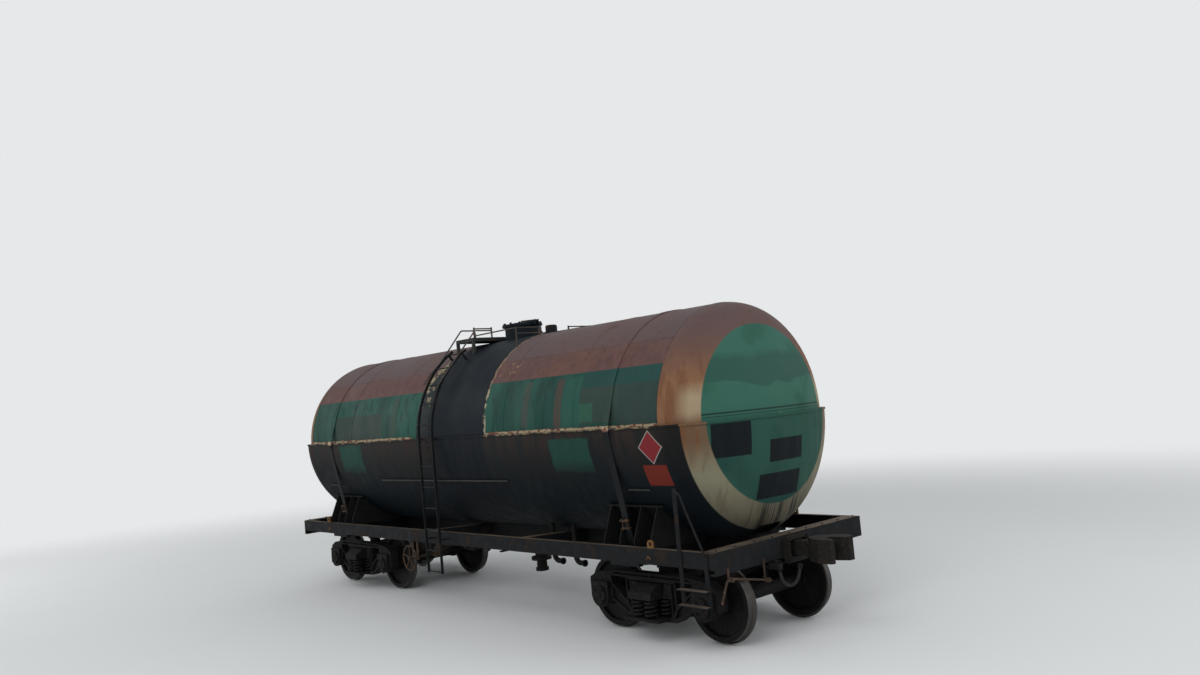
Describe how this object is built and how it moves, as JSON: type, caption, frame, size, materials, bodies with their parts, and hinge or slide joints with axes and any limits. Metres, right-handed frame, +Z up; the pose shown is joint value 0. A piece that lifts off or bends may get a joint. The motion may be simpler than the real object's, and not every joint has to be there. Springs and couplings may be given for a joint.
{
  "type": "railway tank car",
  "caption": "Railway tank car on bogies with a steam-jacketed tank, top manhole and platform, side ladders, automatic couplers and air brake gear.",
  "frame": {"origin": "centre of the car's plan at the tips of the wheel flanges, 28 mm below the rail head", "axes": "+X along the car towards the end with the corner step on the near side, +Y to the far side, +Z up"},
  "size_m": [12.31, 3.292, 4.5293],
  "materials": {
    "tank_paint": "rust-brown paint, weathered",
    "head_paint": "dull green paint over rust",
    "jacket_paint": "oil-darkened paint",
    "trim_paint": "worn paint on steps and railings",
    "frame_paint": "grey-brown paint, dusty",
    "yellow_paint": "worn signal-yellow paint",
    "bogie_steel": "oily cast steel",
    "wheel_steel": "rolled steel, rusty sides",
    "brake_steel": "oily steel",
    "coupler_steel": "cast steel, worn",
    "hose_rubber": "matt black rubber"
  },
  "bodies": {
    "car": {"tank_barrel": "tank_paint", "tank_heads": "head_paint", "steam_jacket": "jacket_paint", "jacket_bars": "jacket_paint", "manhole_neck": "tank_paint", "safety_valve": "tank_paint", "platform_deck": "trim_paint", "railings": "trim_paint", "side_ladders": "trim_paint", "tie_bands": "jacket_paint", "side_sills": "frame_paint", "centre_sill": "frame_paint", "end_beams": "frame_paint", "bolster_beams": "frame_paint", "centre_plates": "bogie_steel", "cross_beams": "frame_paint", "saddles": "frame_paint", "corner_steps": "frame_paint", "towing_eyes": "yellow_paint", "draft_gears": "coupler_steel", "uncoupling_levers": "frame_paint", "drain_outlet": "brake_steel", "steam_inlet": "brake_steel", "train_pipe": "brake_steel", "brake_cylinder": "brake_steel", "air_reservoir": "brake_steel", "air_distributor": "brake_steel", "brake_rods": "brake_steel", "handbrake": "brake_steel", "brake_hose_a": "hose_rubber", "brake_hose_b": "hose_rubber", "hose_head_a": "coupler_steel", "hose_head_b": "coupler_steel"},
    "manhole_lid": {"manhole_lid": "tank_paint"},
    "coupler_a": {"coupler_a": "coupler_steel"},
    "coupler_b": {"coupler_b": "coupler_steel"},
    "bogie_a": {"bogie_a_bolster": "bogie_steel", "bogie_a_side_frames": "bogie_steel", "bogie_a_springs": "bogie_steel", "bogie_a_brake_gear": "brake_steel", "bogie_a_axle_boxes": "bogie_steel"},
    "wheelset_a1": {"wheelset_a1": "wheel_steel"},
    "wheelset_a2": {"wheelset_a2": "wheel_steel"},
    "bogie_b": {"bogie_b_bolster": "bogie_steel", "bogie_b_side_frames": "bogie_steel", "bogie_b_springs": "bogie_steel", "bogie_b_brake_gear": "brake_steel", "bogie_b_axle_boxes": "bogie_steel"},
    "wheelset_b1": {"wheelset_b1": "wheel_steel"},
    "wheelset_b2": {"wheelset_b2": "wheel_steel"}
  },
  "joints": [
    {"name": "manhole_lid_hinge", "type": "hinge", "parent": "car", "child": "manhole_lid", "pos_m": [0.638, 0, 4.487], "axis": [0, 1, 0], "range_deg": [0, 105]},
    {"name": "coupler_a_swing", "type": "hinge", "parent": "car", "child": "coupler_a", "pos_m": [5.08, 0, 1.088], "axis": [0, 0, 1], "range_deg": [-6, 6]},
    {"name": "coupler_b_swing", "type": "hinge", "parent": "car", "child": "coupler_b", "pos_m": [-5.08, 0, 1.088], "axis": [0, 0, 1], "range_deg": [-6, 6]},
    {"name": "bogie_a_swivel", "type": "hinge", "parent": "car", "child": "bogie_a", "pos_m": [3.9, 0, 0.834], "axis": [0, 0, 1], "range_deg": [-4, 4]},
    {"name": "wheelset_a1_spin", "type": "hinge", "parent": "bogie_a", "child": "wheelset_a1", "pos_m": [4.825, 0, 0.503], "axis": [0, 1, 0], "continuous": true},
    {"name": "wheelset_a2_spin", "type": "hinge", "parent": "bogie_a", "child": "wheelset_a2", "pos_m": [2.975, 0, 0.503], "axis": [0, 1, 0], "continuous": true},
    {"name": "bogie_b_swivel", "type": "hinge", "parent": "car", "child": "bogie_b", "pos_m": [-3.9, 0, 0.834], "axis": [0, 0, 1], "range_deg": [-4, 4]},
    {"name": "wheelset_b1_spin", "type": "hinge", "parent": "bogie_b", "child": "wheelset_b1", "pos_m": [-2.975, 0, 0.503], "axis": [0, 1, 0], "continuous": true},
    {"name": "wheelset_b2_spin", "type": "hinge", "parent": "bogie_b", "child": "wheelset_b2", "pos_m": [-4.825, 0, 0.503], "axis": [0, 1, 0], "continuous": true}
  ]
}
